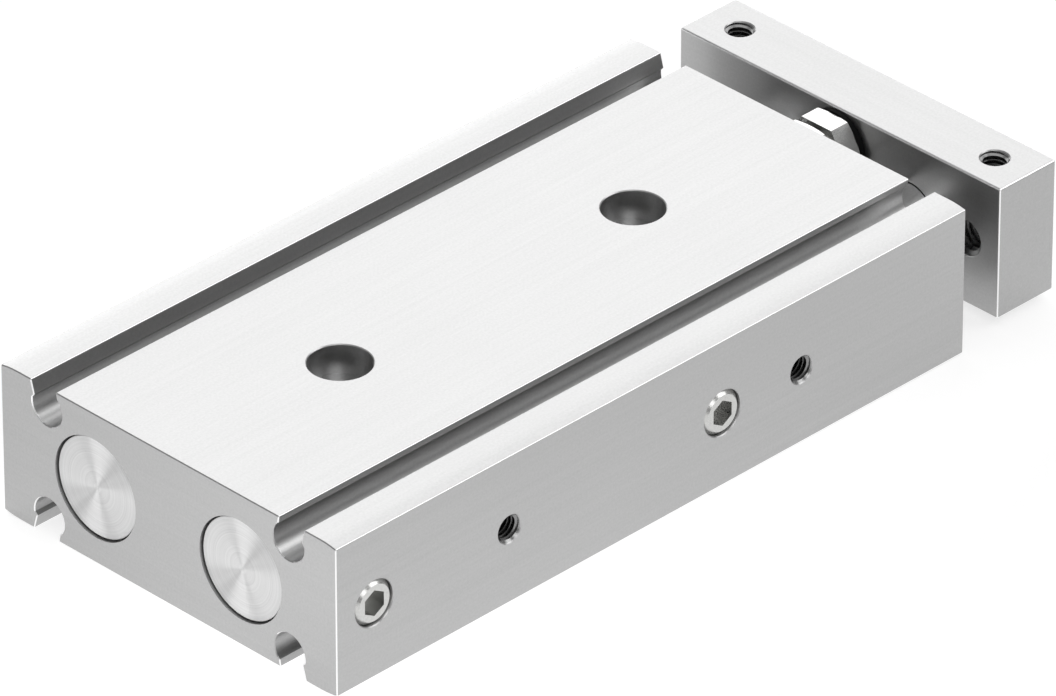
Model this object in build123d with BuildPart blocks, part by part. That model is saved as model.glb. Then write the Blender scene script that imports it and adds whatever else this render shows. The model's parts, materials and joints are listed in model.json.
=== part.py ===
from build123d import *
from math import cos, radians
import os

# Double piston cylinder, in millimetres. X runs along the rods towards the yoke plate, Y to the left, Z up.
# The origin is the centre of the housing's bottom mounting face. The model stands with the rods drawn in.

# Housing profile
body_width = 46.0
body_height = 17.0
bore_pitch = 20.0
bore_radius = 5.0
edge_round = 0.15
end_break = 0.1

# Crown of the outer rails
crown_start = 20.8
crown_drop = 0.25

# Sensor groove: a round channel behind a narrower mouth, with a lip on each side
groove_centre_y = 16.6
groove_centre_depth = 2.25
groove_radius = 2.08
groove_inner_angle = 140.0
groove_outer_angle = 8.0
mouth_inner = 1.25
mouth_outer = 2.2
inner_lip_y = 1.4
inner_lip_depth = 0.8
outer_lip_y = 1.75
outer_lip_depth = 1.6

# Mounting holes in the housing
hole_pitch = 40.0
screw_hole_radius = 1.7
counterbore_radius = 3.25
counterbore_depth = 3.3
side_thread_radius = 1.5
side_thread_depth = 5.5
mouth_chamfer = 0.1

# Air ports, one pair on each long side, joined across both bores
rear_port_offset = 1.2
front_port_offset = 1.0
port_radius = 2.5
port_depth = 5.5
passage_radius = 1.0

# Rear caps, in pockets as wide as those of the rod guides
pocket_radius = 5.6
cap_pocket_depth = 1.8
cap_radius = 5.42
cap_edge = 0.05
cap_recess = 0.3
cap_spigot_length = 2.0
rear_chamber = 2.2

# Fits
static_gap = 0.03
piston_gap = 0.05
rod_gap = 0.03
thread_gap = 0.05

# Rod guides and what they carry
guide_length = 30.3
guide_recess = 2.4
guide_flange_radius = 5.5
guide_flange_length = 2.0
bush_wall = 0.6
bush_length = 8.0
guide_relief = 0.4
rod_seal_radius = 4.3
rod_seal_length = 3.6
rod_seal_recess = 0.3
lip_length = 0.6
lip_rise = 0.2
front_bumper_radius = 3.9
front_bumper_length = 2.0

# Retaining rings in front of the guides
ring_thickness = 0.8
ring_groove_depth = 0.3
ring_inner_radius = 4.7
ring_slit = 3.0
ring_side_gap = 0.05
ring_lug_angle = 28.0
ring_lug_radius = 0.95
ring_lug_hole_radius = 0.4

# Static O-rings
cord_radius = 0.45
cord_groove_width = 1.2
cap_cord_offset = 0.9
guide_cord_offset = 4.5

# Pistons
stroke = 30.0
piston_length = 15.0
piston_half_length = 5.2
piston_spigot_radius = 1.5
piston_seal_width = 1.6
piston_seal_depth = 1.1
piston_seal_offset = 1.7
piston_edge = 0.2
magnet_inset = 0.1
nut_flats = 5.5
nut_height = 2.0
nut_recess_radius = 3.4
nut_recess_depth = 2.5
spigot_projection = 0.3
rear_bumper_inner = 3.5
rear_bumper_outer = 4.6
rear_bumper_length = 1.2
front_end_gap = 0.3

# Piston rods
rod_radius = 3.0
rod_chamfer = 0.3
rod_thread_radius = 1.5
rod_thread_depth = 8.0

# Yoke plate
plate_gap = 6.0
plate_thickness = 8.0
plate_width = 44.0
plate_height = 15.0
plate_round = 0.25
rod_pocket_depth = 1.0
rod_pocket_gap = 0.1
plate_hole_pitch = 35.0
front_thread_radius = 2.0
top_thread_radius = 1.5
top_thread_depth = 5.0

# Screws that hold the plate on the rods
plate_screw_hole_radius = 1.6
plate_screw_counterbore = 3.0
plate_screw_counterbore_depth = 3.2
plate_screw_head_radius = 2.75
plate_screw_head_height = 3.0
plate_screw_engagement = 6.5
plate_screw_socket_flats = 2.5
plate_screw_socket_depth = 1.6
screw_edge = 0.2

# Stop bolt, lock nut and washer between the plate and the housing
stop_height = 12.0
stop_radius = 2.0
stop_flats = 7.0
stop_head_height = 2.1
stop_contact_gap = 0.1
stop_end_recess = 0.5
lock_nut_height = 2.6
washer_thickness = 0.55
washer_radius = 3.7
hexagon_bevel = 0.35

# Screw plugs in the near side's ports
plug_length = 4.5
plug_face_radius = 2.0
plug_bevel_depth = 0.45
plug_socket_flats = 2.5
plug_socket_depth = 2.2

# Places and radii that follow from the sizes above
working_length = rear_chamber + piston_length + stroke + front_end_gap + front_bumper_length
body_length = cap_pocket_depth + cap_spigot_length + working_length + guide_length + guide_recess
rear_x = -body_length / 2
front_x = body_length / 2
axis_z = body_height / 2
side_y = body_width / 2
lanes = {"left": bore_pitch / 2, "right": -bore_pitch / 2}
hole_stations = [-hole_pitch / 2, hole_pitch / 2]

cap_face_x = rear_x + cap_recess
cap_seat_x = rear_x + cap_pocket_depth
cap_inner_x = cap_seat_x + cap_spigot_length
cap_cord_x = cap_seat_x + cap_cord_offset

guide_front_x = front_x - guide_recess
guide_rear_x = guide_front_x - guide_length
guide_shoulder_x = guide_front_x - guide_flange_length
seat_radius = bore_radius - static_gap
guide_cord_x = guide_shoulder_x - guide_cord_offset
bush_inner_radius = rod_radius + rod_gap
bush_outer_radius = bush_inner_radius + bush_wall
bush_seat_radius = bush_outer_radius + static_gap
relief_radius = bush_inner_radius + guide_relief
lip_root_radius = bush_inner_radius + lip_rise
ring_groove_x = guide_front_x + ring_thickness + 2 * ring_side_gap
ring_groove_radius = pocket_radius + ring_groove_depth
rod_seal_front_x = guide_front_x - rod_seal_recess
rod_seal_rear_x = rod_seal_front_x - rod_seal_length
cord_centre_radius = seat_radius - cord_radius
cord_floor_radius = cord_centre_radius - cord_radius

piston_rear_x = cap_inner_x + rear_chamber
piston_front_x = piston_rear_x + piston_length
piston_radius = bore_radius - piston_gap
magnet_rear_x = piston_rear_x + piston_half_length
magnet_front_x = piston_front_x - piston_half_length
nut_front_x = piston_rear_x + nut_recess_depth
nut_rear_x = nut_front_x - nut_height
spigot_end_x = nut_rear_x - spigot_projection
spigot_seat_radius = piston_spigot_radius + static_gap
spigot_cord_radius = spigot_seat_radius + cord_radius
seal_floor_radius = piston_radius - piston_seal_depth
front_seal_x = piston_front_x - piston_seal_offset
rear_seal_x = piston_rear_x + piston_seal_offset

port_stations = [cap_inner_x + rear_port_offset, piston_front_x + stroke + front_port_offset]

plate_rear_x = front_x + plate_gap
plate_front_x = plate_rear_x + plate_thickness
plate_mid_x = plate_rear_x + plate_thickness / 2
plate_bottom_z = axis_z - plate_height / 2
plate_top_z = axis_z + plate_height / 2
rod_front_x = plate_rear_x + rod_pocket_depth
screw_seat_x = plate_front_x - plate_screw_counterbore_depth
screw_face_x = screw_seat_x + plate_screw_head_height

stop_face_x = front_x + stop_contact_gap
stop_head_x = stop_face_x + stop_head_height
washer_rear_x = plate_rear_x - washer_thickness
lock_nut_rear_x = washer_rear_x - lock_nut_height
stop_end_x = plate_front_x - stop_end_recess

os.makedirs("parts", exist_ok=True)


def facing(x, y, z, direction):
    """Plane at a point, looking out along a direction, for holes that go in from there."""
    return Plane(origin=(x, y, z), z_dir=direction)


def across(x, y=0.0, z=axis_z):
    """Plane square to the length at station x, with its X to the left of the cylinder and its Y upwards."""
    return Plane(origin=(x, y, z), x_dir=(0, 1, 0), z_dir=(1, 0, 0))


def along(y, z=axis_z):
    """Plane for turned outlines: its X is the station and its Y the distance from the axis at y, z."""
    return Plane(origin=(0, y, z), x_dir=(1, 0, 0), z_dir=(0, -1, 0))


def turn(plane, outline, mode=Mode.ADD):
    """Revolve a closed outline of (station, radius) points about the plane's X axis."""
    with BuildSketch(plane) as section:
        with BuildLine():
            Polyline(*outline, close=True)
        make_face()
    revolve(section.sketch, axis=Axis(plane.origin, plane.x_dir), mode=mode)


def band(start, end, inner, outer):
    """Outline of a plain ring between two stations and two radii."""
    return [(start, inner), (end, inner), (end, outer), (start, outer)]


def cord(plane, station, radius):
    """Revolve the six-sided section of a squeezed O-ring, flat on its seats, about the plane's X axis."""
    with BuildSketch(plane) as section:
        with Locations((station, radius)):
            RegularPolygon(cord_radius, 6, major_radius=False)
    revolve(section.sketch, axis=Axis(plane.origin, plane.x_dir))


def hexagon(plane, flats, height, corner_up=False, mode=Mode.ADD):
    """Hexagon bar that starts on a plane, with a flat on top unless a corner is to be up."""
    with BuildSketch(plane) as section:
        RegularPolygon(radius=flats / 2, side_count=6, major_radius=False, rotation=30 if corner_up else 0)
    extrude(section.sketch, amount=height, mode=mode)


def turn_corners_off(plane, station, inward, flats):
    """Bevel the corners of a hexagon end, as turning leaves them. inward is 1 or -1 along the plane's X."""
    corner = flats / 2 / cos(radians(30))
    outline = [
        (station, flats / 2 - edge_round),
        (station + inward * hexagon_bevel, corner + edge_round),
        (station, corner + edge_round),
    ]
    turn(plane, outline, Mode.SUBTRACT)


def break_mouths(part, radius, axis, distances):
    """Chamfer the round mouths of one radius whose centres lie at the given distances along an axis."""
    rims = part.edges().filter_by(GeomType.CIRCLE).filter_by(lambda rim: abs(rim.radius - radius) < 0.001)
    near = [rim for rim in rims if min(abs(rim.arc_center.dot(axis) - d) for d in distances) < 0.001]
    chamfer(near, mouth_chamfer)


# Housing: a quarter of the profile, mirrored left to right and top to bottom, then bored and drilled
with BuildPart() as housing:
    with BuildSketch(across(rear_x)) as profile:
        top = body_height / 2
        with BuildLine():
            channel = CenterArc(
                (groove_centre_y, top - groove_centre_depth),
                groove_radius,
                groove_inner_angle,
                360 + groove_outer_angle - groove_inner_angle,
            )
            Polyline(
                channel @ 0,
                (groove_centre_y - inner_lip_y, top - inner_lip_depth),
                (groove_centre_y - mouth_inner, top),
                (0, top),
                (0, 0),
                (side_y, 0),
                (side_y, top - crown_drop),
            )
            rail = Polyline(
                channel @ 1,
                (groove_centre_y + outer_lip_y, top - outer_lip_depth),
                (groove_centre_y + mouth_outer, top),
                (crown_start, top),
            )
            TangentArc(rail @ 1, (side_y, top - crown_drop), tangent=(1, 0))
        make_face()
        crest = profile.vertices().filter_by(lambda v: v.X > 0 and v.X != crown_start)
        fillet(crest.filter_by(lambda v: v.Y > top - crown_drop - edge_round), edge_round)
        mirror(about=Plane.YZ)
        mirror(about=Plane.XZ)
    extrude(amount=body_length)
    ends = housing.faces().filter_by(Axis.X)
    chamfer([edge for end in ends for edge in end.outer_wire().edges()], end_break)

    # Bores, with a pocket for the rear cap, one for the rod guide and a groove for the retaining ring
    for y in lanes.values():
        with Locations(facing(rear_x, y, axis_z, (-1, 0, 0))):
            CounterBoreHole(bore_radius, pocket_radius, cap_pocket_depth)
        with Locations(facing(front_x, y, axis_z, (1, 0, 0))):
            Hole(pocket_radius, depth=front_x - guide_shoulder_x)
        turn(along(y), band(guide_front_x, ring_groove_x, bore_radius, ring_groove_radius), Mode.SUBTRACT)

    # Through holes, counterbored from the top and the bottom
    for x in hole_stations:
        with Locations(facing(x, 0, body_height, (0, 0, 1))):
            CounterBoreHole(screw_hole_radius, counterbore_radius, counterbore_depth)
        with Locations(facing(x, 0, 0, (0, 0, -1))):
            Hole(counterbore_radius, depth=counterbore_depth)

    # Side threads and air ports, from both long sides
    for side in (1, -1):
        for x in hole_stations:
            with Locations(facing(x, side * side_y, axis_z, (0, side, 0))):
                Hole(side_thread_radius, depth=side_thread_depth)
        for x in port_stations:
            with Locations(facing(x, side * side_y, axis_z, (0, side, 0))):
                CounterBoreHole(passage_radius, port_radius, port_depth)
    break_mouths(housing, counterbore_radius, Vector(0, 0, 1), (0, body_height))
    break_mouths(housing, side_thread_radius, Vector(0, 1, 0), (-side_y, side_y))
    break_mouths(housing, port_radius, Vector(0, 1, 0), (-side_y, side_y))
housing.part.label = "housing"
export_step(housing.part, "parts/housing.step")

for side, y in lanes.items():
    # Rear cap: a turned disc with a spigot that carries its O-ring
    with BuildPart() as rear_cap:
        outline = [
            (cap_face_x, 0),
            (cap_face_x, cap_radius - cap_edge),
            (cap_face_x + cap_edge, cap_radius),
            (cap_seat_x, cap_radius),
            (cap_seat_x, seat_radius),
            (cap_cord_x - cord_groove_width / 2, seat_radius),
            (cap_cord_x - cord_groove_width / 2, cord_floor_radius),
            (cap_cord_x + cord_groove_width / 2, cord_floor_radius),
            (cap_cord_x + cord_groove_width / 2, seat_radius),
            (cap_inner_x, seat_radius),
            (cap_inner_x, 0),
        ]
        turn(along(y), outline)
    rear_cap.part.label = f"rear_cap_{side}"
    export_step(rear_cap.part, f"parts/rear_cap_{side}.step")

    # Rod guide: a flanged sleeve with seats for two bushes, the rod seal and an O-ring
    with BuildPart() as rod_guide:
        outline = [
            (guide_rear_x, bush_seat_radius),
            (guide_rear_x, seat_radius),
            (guide_cord_x - cord_groove_width / 2, seat_radius),
            (guide_cord_x - cord_groove_width / 2, cord_floor_radius),
            (guide_cord_x + cord_groove_width / 2, cord_floor_radius),
            (guide_cord_x + cord_groove_width / 2, seat_radius),
            (guide_shoulder_x, seat_radius),
            (guide_shoulder_x, guide_flange_radius),
            (guide_front_x, guide_flange_radius),
            (guide_front_x, rod_seal_radius + static_gap),
            (rod_seal_rear_x, rod_seal_radius + static_gap),
            (rod_seal_rear_x, bush_seat_radius),
            (rod_seal_rear_x - bush_length, bush_seat_radius),
            (rod_seal_rear_x - bush_length, relief_radius),
            (guide_rear_x + bush_length, relief_radius),
            (guide_rear_x + bush_length, bush_seat_radius),
        ]
        turn(along(y), outline)
    rod_guide.part.label = f"rod_guide_{side}"
    export_step(rod_guide.part, f"parts/rod_guide_{side}.step")

    # Piston rod: spigot for the piston at the back, tapped hole for the plate screw at the front
    with BuildPart() as piston_rod:
        outline = [
            (spigot_end_x, 0),
            (spigot_end_x, piston_spigot_radius),
            (piston_front_x, piston_spigot_radius),
            (piston_front_x, rod_radius),
            (rod_front_x - rod_chamfer, rod_radius),
            (rod_front_x, rod_radius - rod_chamfer),
            (rod_front_x, rod_thread_radius),
            (rod_front_x - rod_thread_depth, rod_thread_radius),
            (rod_front_x - rod_thread_depth, 0),
        ]
        turn(along(y), outline)
    piston_rod.part.label = f"piston_rod_{side}"
    export_step(piston_rod.part, f"parts/piston_rod_{side}.step")

    # Front half of the piston, with a seal groove outside and a seat for an O-ring on the spigot
    with BuildPart() as piston_front:
        outline = [
            (magnet_front_x, spigot_cord_radius + cord_radius),
            (magnet_front_x, piston_radius),
            (front_seal_x - piston_seal_width, piston_radius),
            (front_seal_x - piston_seal_width, seal_floor_radius),
            (front_seal_x, seal_floor_radius),
            (front_seal_x, piston_radius),
            (piston_front_x - piston_edge, piston_radius),
            (piston_front_x, piston_radius - piston_edge),
            (piston_front_x, spigot_seat_radius),
            (magnet_front_x + cord_groove_width, spigot_seat_radius),
            (magnet_front_x + cord_groove_width, spigot_cord_radius + cord_radius),
        ]
        turn(along(y), outline)
    piston_front.part.label = f"piston_front_{side}"
    export_step(piston_front.part, f"parts/piston_front_{side}.step")

    # Rear half of the piston, with a seal groove outside and a recess for the nut
    with BuildPart() as piston_rear:
        outline = [
            (magnet_rear_x, piston_radius),
            (rear_seal_x + piston_seal_width, piston_radius),
            (rear_seal_x + piston_seal_width, seal_floor_radius),
            (rear_seal_x, seal_floor_radius),
            (rear_seal_x, piston_radius),
            (piston_rear_x + piston_edge, piston_radius),
            (piston_rear_x, piston_radius - piston_edge),
            (piston_rear_x, nut_recess_radius),
            (nut_front_x, nut_recess_radius),
            (nut_front_x, spigot_seat_radius),
            (magnet_rear_x, spigot_seat_radius),
        ]
        turn(along(y), outline)
    piston_rear.part.label = f"piston_rear_{side}"
    export_step(piston_rear.part, f"parts/piston_rear_{side}.step")

# Seals, bushes and rings, one or more for each bore
with BuildPart() as rear_cap_o_rings:
    for y in lanes.values():
        cord(along(y), cap_cord_x, cord_centre_radius)
rear_cap_o_rings.part.label = "rear_cap_o_rings"
export_step(rear_cap_o_rings.part, "parts/rear_cap_o_rings.step")

with BuildPart() as guide_o_rings:
    for y in lanes.values():
        cord(along(y), guide_cord_x, cord_centre_radius)
guide_o_rings.part.label = "guide_o_rings"
export_step(guide_o_rings.part, "parts/guide_o_rings.step")

with BuildPart() as guide_bushes:
    for y in lanes.values():
        for start in (guide_rear_x, rod_seal_rear_x - bush_length):
            turn(along(y), band(start, start + bush_length, bush_inner_radius, bush_outer_radius))
guide_bushes.part.label = "guide_bushes"
export_step(guide_bushes.part, "parts/guide_bushes.step")

with BuildPart() as rod_seals:
    for y in lanes.values():
        outline = [
            (rod_seal_rear_x, lip_root_radius),
            (rod_seal_rear_x + lip_length, bush_inner_radius),
            (rod_seal_rear_x + 2 * lip_length, lip_root_radius),
            (rod_seal_front_x - lip_length, lip_root_radius),
            (rod_seal_front_x, bush_inner_radius),
            (rod_seal_front_x, lip_root_radius + lip_length / 2),
            (rod_seal_front_x - lip_length / 2, rod_seal_radius),
            (rod_seal_rear_x, rod_seal_radius),
        ]
        turn(along(y), outline)
rod_seals.part.label = "rod_seals"
export_step(rod_seals.part, "parts/rod_seals.step")

with BuildPart() as retaining_rings:
    for y in lanes.values():
        with BuildSketch(across(guide_front_x + ring_side_gap, y)) as ring:
            Circle(ring_groove_radius - static_gap)
            Circle(ring_inner_radius, mode=Mode.SUBTRACT)
            with PolarLocations(ring_inner_radius, 2, 270 - ring_lug_angle, 4 * ring_lug_angle):
                Circle(ring_lug_radius)
                Circle(ring_lug_hole_radius, mode=Mode.SUBTRACT)
            with Locations((0, -ring_inner_radius)):
                Rectangle(ring_slit, 2 * ring_inner_radius - 2 * rod_radius, mode=Mode.SUBTRACT)
        extrude(amount=ring_thickness)
retaining_rings.part.label = "retaining_rings"
export_step(retaining_rings.part, "parts/retaining_rings.step")

with BuildPart() as front_bumpers:
    for y in lanes.values():
        start = guide_rear_x - front_bumper_length
        turn(along(y), band(start, guide_rear_x, relief_radius, front_bumper_radius))
front_bumpers.part.label = "front_bumpers"
export_step(front_bumpers.part, "parts/front_bumpers.step")

with BuildPart() as piston_magnets:
    magnet_radius = piston_radius - magnet_inset
    for y in lanes.values():
        turn(along(y), band(magnet_rear_x, magnet_front_x, spigot_seat_radius, magnet_radius))
piston_magnets.part.label = "piston_magnets"
export_step(piston_magnets.part, "parts/piston_magnets.step")

with BuildPart() as piston_seals:
    for y in lanes.values():
        for lip, inward in ((rear_seal_x, 1), (front_seal_x, -1)):
            heel = lip + inward * piston_seal_width
            outline = [
                (heel, seal_floor_radius + static_gap),
                (heel, piston_radius - piston_edge),
                (lip, bore_radius - rod_gap),
                (lip, seal_floor_radius + static_gap),
            ]
            turn(along(y), outline)
piston_seals.part.label = "piston_seals"
export_step(piston_seals.part, "parts/piston_seals.step")

with BuildPart() as piston_o_rings:
    for y in lanes.values():
        cord(along(y), magnet_front_x + cord_groove_width / 2, spigot_cord_radius)
piston_o_rings.part.label = "piston_o_rings"
export_step(piston_o_rings.part, "parts/piston_o_rings.step")

with BuildPart() as rear_bumpers:
    for y in lanes.values():
        start = piston_rear_x - rear_bumper_length
        turn(along(y), band(start, piston_rear_x, rear_bumper_inner, rear_bumper_outer))
rear_bumpers.part.label = "rear_bumpers"
export_step(rear_bumpers.part, "parts/rear_bumpers.step")

with BuildPart() as piston_nuts:
    for y in lanes.values():
        hexagon(across(nut_rear_x, y), nut_flats, nut_height)
        with Locations(facing(nut_front_x, y, axis_z, (1, 0, 0))):
            Hole(piston_spigot_radius + thread_gap, depth=nut_height)
piston_nuts.part.label = "piston_nuts"
export_step(piston_nuts.part, "parts/piston_nuts.step")

# Screw plugs with a hexagon socket, in the ports of the right-hand side
with BuildPart() as port_plugs:
    for x in port_stations:
        plug = Plane(origin=(x, -side_y, axis_z), x_dir=(0, 1, 0), z_dir=(1, 0, 0))
        outline = [
            (0, 0),
            (0, plug_face_radius),
            (plug_bevel_depth, port_radius - thread_gap),
            (plug_length, port_radius - thread_gap),
            (plug_length, 0),
        ]
        turn(plug, outline)
        socket = Plane(origin=(x, -side_y, axis_z), x_dir=(1, 0, 0), z_dir=(0, 1, 0))
        hexagon(socket, plug_socket_flats, plug_socket_depth, corner_up=True, mode=Mode.SUBTRACT)
port_plugs.part.label = "port_plugs"
export_step(port_plugs.part, "parts/port_plugs.step")

# Yoke plate: rod pockets at the back, screw counterbores in front, threads all round, stop thread above
with BuildPart() as yoke_plate:
    with BuildSketch(across(plate_rear_x)):
        Rectangle(plate_width, plate_height)
    extrude(amount=plate_thickness)
    fillet(yoke_plate.edges(), plate_round)
    for y in lanes.values():
        with Locations(facing(plate_rear_x, y, axis_z, (-1, 0, 0))):
            Hole(rod_radius + rod_pocket_gap, depth=rod_pocket_depth)
        with Locations(facing(plate_front_x, y, axis_z, (1, 0, 0))):
            CounterBoreHole(plate_screw_hole_radius, plate_screw_counterbore, plate_screw_counterbore_depth)
    for y in (-plate_hole_pitch / 2, plate_hole_pitch / 2):
        with Locations(facing(plate_front_x, y, axis_z, (1, 0, 0))):
            Hole(front_thread_radius)
        with Locations(facing(plate_mid_x, y, plate_top_z, (0, 0, 1))):
            Hole(top_thread_radius, depth=top_thread_depth)
        with Locations(facing(plate_mid_x, y, plate_bottom_z, (0, 0, -1))):
            Hole(top_thread_radius, depth=top_thread_depth)
    break_mouths(yoke_plate, front_thread_radius, Vector(1, 0, 0), (plate_rear_x, plate_front_x))
    break_mouths(yoke_plate, top_thread_radius, Vector(0, 0, 1), (plate_bottom_z, plate_top_z))
    with Locations(facing(plate_front_x, 0, stop_height, (1, 0, 0))):
        Hole(stop_radius)
yoke_plate.part.label = "yoke_plate"
export_step(yoke_plate.part, "parts/yoke_plate.step")

# Socket screws that draw the plate onto the rods
with BuildPart() as plate_screws:
    for y in lanes.values():
        outline = [
            (rod_front_x - plate_screw_engagement, 0),
            (rod_front_x - plate_screw_engagement, rod_thread_radius - thread_gap - screw_edge),
            (rod_front_x - plate_screw_engagement + screw_edge, rod_thread_radius - thread_gap),
            (screw_seat_x, rod_thread_radius - thread_gap),
            (screw_seat_x, plate_screw_head_radius),
            (screw_face_x - screw_edge, plate_screw_head_radius),
            (screw_face_x, plate_screw_head_radius - screw_edge),
            (screw_face_x, 0),
        ]
        turn(along(y), outline)
        socket = across(screw_face_x - plate_screw_socket_depth, y)
        hexagon(socket, plate_screw_socket_flats, plate_screw_socket_depth, mode=Mode.SUBTRACT)
plate_screws.part.label = "plate_screws"
export_step(plate_screws.part, "parts/plate_screws.step")

# Stop bolt: its head meets the housing when the rods are in
with BuildPart() as stop_bolt:
    stop_axis = along(0, stop_height)
    hexagon(across(stop_face_x, 0, stop_height), stop_flats, stop_head_height)
    turn_corners_off(stop_axis, stop_face_x, 1, stop_flats)
    turn_corners_off(stop_axis, stop_head_x, -1, stop_flats)
    outline = [
        (stop_face_x, 0),
        (stop_face_x, stop_radius - thread_gap),
        (stop_end_x - rod_chamfer, stop_radius - thread_gap),
        (stop_end_x, stop_radius - thread_gap - rod_chamfer),
        (stop_end_x, 0),
    ]
    turn(stop_axis, outline)
stop_bolt.part.label = "stop_bolt"
export_step(stop_bolt.part, "parts/stop_bolt.step")

# Lock nut, beveled towards the plate, and the washer between them
with BuildPart() as lock_nut:
    hexagon(across(lock_nut_rear_x, 0, stop_height), stop_flats, lock_nut_height)
    turn_corners_off(stop_axis, washer_rear_x, -1, stop_flats)
    with Locations(facing(washer_rear_x, 0, stop_height, (1, 0, 0))):
        Hole(stop_radius)
lock_nut.part.label = "lock_nut"
export_step(lock_nut.part, "parts/lock_nut.step")

with BuildPart() as lock_washer:
    turn(stop_axis, band(washer_rear_x, plate_rear_x, stop_radius, washer_radius))
lock_washer.part.label = "lock_washer"
export_step(lock_washer.part, "parts/lock_washer.step")
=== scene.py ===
import json
from math import cos, pi, radians, sin

import bmesh
import bpy
from bpy.props import FloatProperty, FloatVectorProperty, IntProperty, PointerProperty
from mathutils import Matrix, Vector


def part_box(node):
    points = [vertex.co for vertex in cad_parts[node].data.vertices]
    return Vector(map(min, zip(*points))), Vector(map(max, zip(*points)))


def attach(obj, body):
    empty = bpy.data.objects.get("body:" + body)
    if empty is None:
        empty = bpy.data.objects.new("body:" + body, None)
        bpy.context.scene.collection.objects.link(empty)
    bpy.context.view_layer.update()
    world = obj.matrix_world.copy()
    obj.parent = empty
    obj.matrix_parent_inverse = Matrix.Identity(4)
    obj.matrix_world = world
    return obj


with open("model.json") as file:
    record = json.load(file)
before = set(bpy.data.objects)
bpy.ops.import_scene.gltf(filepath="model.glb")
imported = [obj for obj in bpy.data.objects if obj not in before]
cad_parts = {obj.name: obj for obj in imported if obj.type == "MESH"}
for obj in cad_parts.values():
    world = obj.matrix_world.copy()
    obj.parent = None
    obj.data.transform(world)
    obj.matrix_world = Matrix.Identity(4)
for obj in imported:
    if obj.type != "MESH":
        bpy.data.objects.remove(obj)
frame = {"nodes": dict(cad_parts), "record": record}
nodes = frame["nodes"]
mounts = {mount["name"]: mount for mount in frame["record"]["mounts"]}
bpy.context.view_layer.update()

bl_info = {
    "name": "Double Piston Cylinder",
    "version": (1, 0, 0),
    "blender": (4, 5, 0),
    "location": "3D View > Sidebar > Cylinder",
    "description": "Finishes, threads, studio and camera for a compact cylinder with two pistons and a yoke plate",
    "category": "Object",
}

MM = 0.001
BODY = "cylinder_body"
SLIDE = "rod_slide"

# The ends' grain lies on faces whose normal has more than this share along X
END_FACE_SHARE = 0.7

# A painted edge highlight lies where the normal has no part above the first share, and more than the second along Y
STRAIGHT_SHARE = 0.88
SIDEWAYS_SHARE = 0.2
# Near-white colour painted on those edges as a highlight
EDGE_HIGHLIGHT_COLOUR = (0.97, 0.97, 0.97, 1)

# Darkest and lightest tone of a metal, and of a moulded or sintered compound
METAL_TONES = (0.82, 1.18)
COMPOUND_TONES = (0.8, 1.2)

# Relief of fine grinding and plating
FINE_RELIEF = 0.002 * MM

# Cut threads: width of a mark in turning feeds, depth at which the painted shade is full, and the metal's tone there
THREAD_MARK_FEEDS = 6
PAINTED_SHADE_DEPTH = 2 * MM
BLIND_THREAD_TONE = 0.3
THROUGH_THREAD_TONE = 1.0

# Profile of an inner thread in pitches: its height, and where the root ends and the crest starts and ends
THREAD_HEIGHT = 0.54
ROOT_END = 0.125
CREST_START = 0.4375
CREST_END = 0.6875
THREAD_CORNERS = (0, ROOT_END, CREST_START, CREST_END)

# How far a thread sleeve reaches into the wall of its hole, the threaded share of an air port's length, and what
# the chamfers of both mouths take from a hole through the plate
SLEEVE_OVERLAP = 0.02 * MM
PORT_THREAD_SHARE = 0.93
MOUTH_CHAMFERS = 0.2 * MM

# Points nearer than the first are one, and edges shorter than the second are taken out
MERGE_DISTANCE = 1e-8
SLIVER_LENGTH = 1e-9

# Faces that meet at more than this angle keep a sharp edge
SHARP_ANGLE = radians(25)

# The floor lies this far under the cylinder
FLOOR_GAP = 0.02 * MM
FLOOR_SEGMENTS = 96

# Each softbox with the setting of its brightness, the direction in which the cylinder sees it, in degrees turned
# from the rods' axis to the left and degrees up, and its width and height in metres
SOFTBOXES = (
    ("back_softbox", "back_level", 46, 33, 2.4, 1.6),
    ("back_strip", "strip_level", 52, 8, 1.8, 0.3),
    ("side_softbox", "side_level", -42, 40, 1.0, 0.8),
    ("front_softbox", "front_level", -118, 38, 0.9, 0.7),
    ("rear_softbox", "rear_level", 148, 11, 0.9, 0.45),
    ("top_softbox", "top_level", 0, 90, 1.4, 1.4),
)

# Nearest and farthest distance that the camera sees
CAMERA_REACH = (0.1, 20)


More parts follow.
